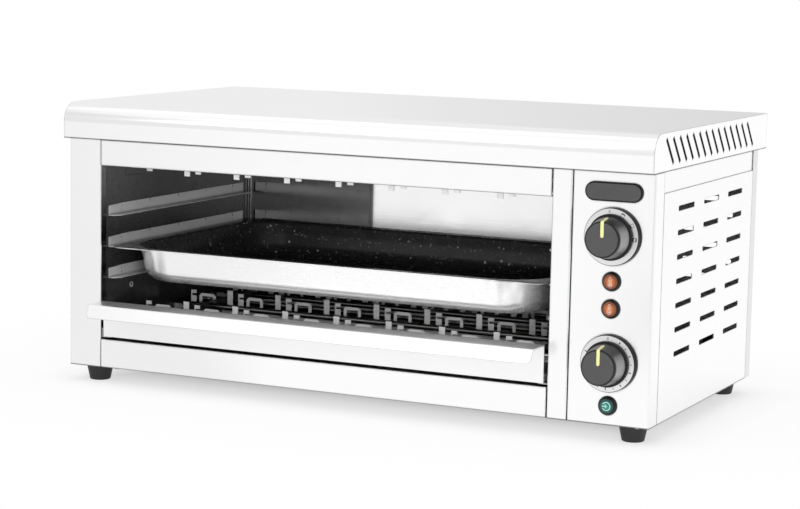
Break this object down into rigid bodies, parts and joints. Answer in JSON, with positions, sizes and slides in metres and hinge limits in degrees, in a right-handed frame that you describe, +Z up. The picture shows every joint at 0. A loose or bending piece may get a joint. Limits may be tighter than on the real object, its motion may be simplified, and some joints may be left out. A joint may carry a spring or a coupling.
{
  "type": "cheese melter",
  "caption": "Countertop stainless cheese melter with an open-fronted cavity, heating elements above and below, rails for a full-size tray, a crumb tray and a control column with knobs.",
  "frame": {"origin": "on the bench, under the middle of the whole outline", "axes": "+X to the right seen from the front, +Y to the rear, +Z up"},
  "size_m": [0.701, 0.411, 0.319],
  "materials": {
    "casing_steel": "fine satin grain",
    "base_steel": "dull mill finish",
    "cavity_steel": "bright sheet, dulled by heat",
    "rail_steel": "satin",
    "comb_steel": "stamped, bright",
    "element_sheath": "satin alloy sheath",
    "ceramic_bead": "matt",
    "switch_plastic": "moulded",
    "plated_steel": "bright plated",
    "dial_metal": "satin face, black rim",
    "knob_black": "moulded, low sheen",
    "pointer_yellow": "moulded insert",
    "bezel_black": "moulded",
    "amber_lens": "tinted, translucent",
    "green_lens": "tinted, translucent",
    "badge_black": "bare plate",
    "gland_black": "moulded",
    "foot_rubber": "moulded rubber",
    "tray_steel": "polished outside, dark speckled non-stick coat inside"
  },
  "bodies": {
    "casing": {"top_cover": "casing_steel", "left_side_panel": "casing_steel", "right_side_panel": "casing_steel", "back_panel": "casing_steel", "base_plate": "base_steel", "left_front_post": "casing_steel", "middle_front_post": "casing_steel", "top_fascia": "casing_steel", "bottom_fascia": "casing_steel", "control_panel": "casing_steel", "cavity_left_wall": "cavity_steel", "cavity_right_wall": "cavity_steel", "cavity_back_wall": "cavity_steel", "upper_reflector": "cavity_steel", "left_rail_top": "rail_steel", "left_rail_middle": "rail_steel", "left_rail_bottom": "rail_steel", "right_rail_top": "rail_steel", "right_rail_middle": "rail_steel", "right_rail_bottom": "rail_steel", "crumb_tray_runners": "rail_steel", "lower_comb_front": "comb_steel", "lower_comb_middle": "comb_steel", "lower_comb_rear": "comb_steel", "upper_comb_front": "comb_steel", "upper_comb_middle": "comb_steel", "upper_comb_rear": "comb_steel", "lower_cross_plates": "comb_steel", "upper_cross_plates": "comb_steel", "lower_element_front": "element_sheath", "lower_element_middle": "element_sheath", "lower_element_rear": "element_sheath", "upper_element_front": "element_sheath", "upper_element_middle": "element_sheath", "upper_element_rear": "element_sheath", "element_terminals": "ceramic_bead", "selector_switch": "switch_plastic", "thermostat": "plated_steel", "selector_dial": "dial_metal", "thermostat_dial": "dial_metal", "lamp_bezels": "bezel_black", "upper_heat_lens": "amber_lens", "lower_heat_lens": "amber_lens", "power_lens": "green_lens", "blank_badge": "badge_black", "terminal_block": "switch_plastic", "cable_gland": "gland_black", "rubber_feet": "foot_rubber", "foot_screws": "plated_steel", "casing_screws": "plated_steel"},
    "selector": {"selector_knob": "knob_black", "selector_pointer": "pointer_yellow", "selector_shaft": "plated_steel"},
    "thermostat_control": {"thermostat_knob": "knob_black", "thermostat_pointer": "pointer_yellow", "thermostat_shaft": "plated_steel"},
    "tray": {"gn_tray": "tray_steel"},
    "crumb_drawer": {"crumb_tray": "casing_steel"}
  },
  "joints": [
    {"name": "selector_turn", "type": "hinge", "parent": "casing", "child": "selector", "pos_m": [0.3054, -0.1675, 0.213], "axis": [0, 1, 0], "range_deg": [0, 99]},
    {"name": "thermostat_turn", "type": "hinge", "parent": "casing", "child": "thermostat_control", "pos_m": [0.3054, -0.1675, 0.083], "axis": [0, 1, 0], "range_deg": [0, 300]},
    {"name": "tray_slide", "type": "slide", "parent": "casing", "child": "tray", "axis": [0, -1, 0], "range_m": [0, 0.335]},
    {"name": "crumb_tray_slide", "type": "slide", "parent": "casing", "child": "crumb_drawer", "axis": [0, -1, 0], "range_m": [0, 0.335]}
  ]
}
